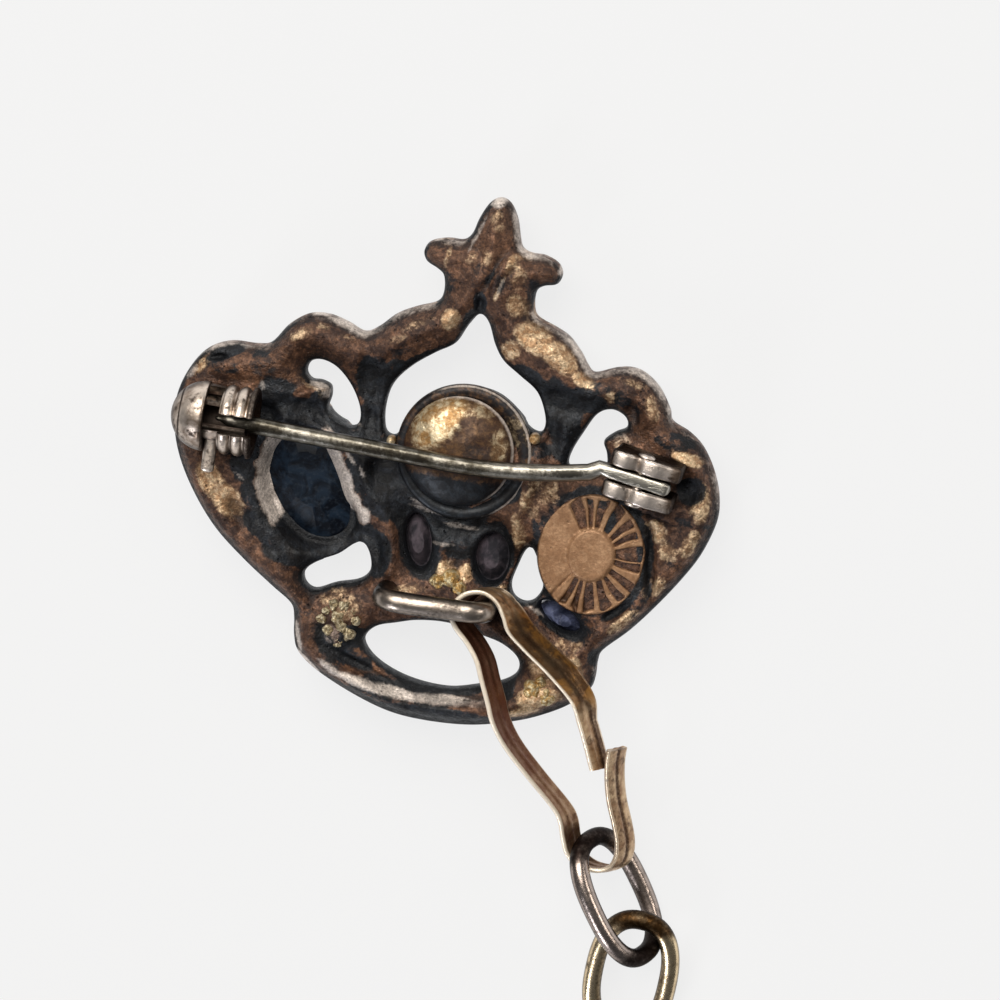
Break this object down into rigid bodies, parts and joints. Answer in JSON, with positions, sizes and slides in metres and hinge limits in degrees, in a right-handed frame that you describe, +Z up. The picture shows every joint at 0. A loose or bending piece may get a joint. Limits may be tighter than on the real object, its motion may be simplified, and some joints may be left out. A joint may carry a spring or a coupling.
{
  "type": "chatelaine brooch",
  "caption": "Pierced crown brooch of a chatelaine, lying face down, with a hinged pin, a turning safety catch and the start of its chain.",
  "frame": {"origin": "middle of the whole piece, on the surface that it lies on", "axes": "+Z up, out of the brooch's back; +Y towards the fleur at the crown's top; +X towards the pin's hinge; the chain runs towards -Y"},
  "size_m": [0.0292, 0.0422, 0.0071],
  "materials": {
    "casting": "cast, tarnished brown with worn gilt",
    "findings": "worn silver",
    "pin_wire": "drawn wire, dulled",
    "gilt_ribbon": "worn gilt",
    "dark_silver": "darkened silver",
    "gilt_wire": "worn gilt",
    "blue_glass": "dark blue glass, dull from behind",
    "grey_glass": "dark grey glass",
    "violet_glass": "blue-violet glass"
  },
  "bodies": {
    "brooch": {"crown": "casting", "left_stone": "blue_glass", "small_stone_left": "grey_glass", "small_stone_right": "grey_glass", "corner_stone": "violet_glass", "hinge_rivet": "findings", "clip": "gilt_ribbon", "link_1": "dark_silver", "link_2": "gilt_wire"},
    "pin": {"pin_stem": "pin_wire"},
    "catch": {"catch_sleeve": "findings"}
  },
  "joints": [
    {"name": "pin_hinge", "type": "hinge", "parent": "brooch", "child": "pin", "pos_m": [0.00921, 0.00867, 0.0054], "axis": [0.1564, 0.9877, 0], "range_deg": [0, 80]},
    {"name": "catch_turn", "type": "hinge", "parent": "brooch", "child": "catch", "pos_m": [-0.01258, 0.00848, 0.0054], "axis": [-1, 0, 0], "range_deg": [0, 70]}
  ]
}
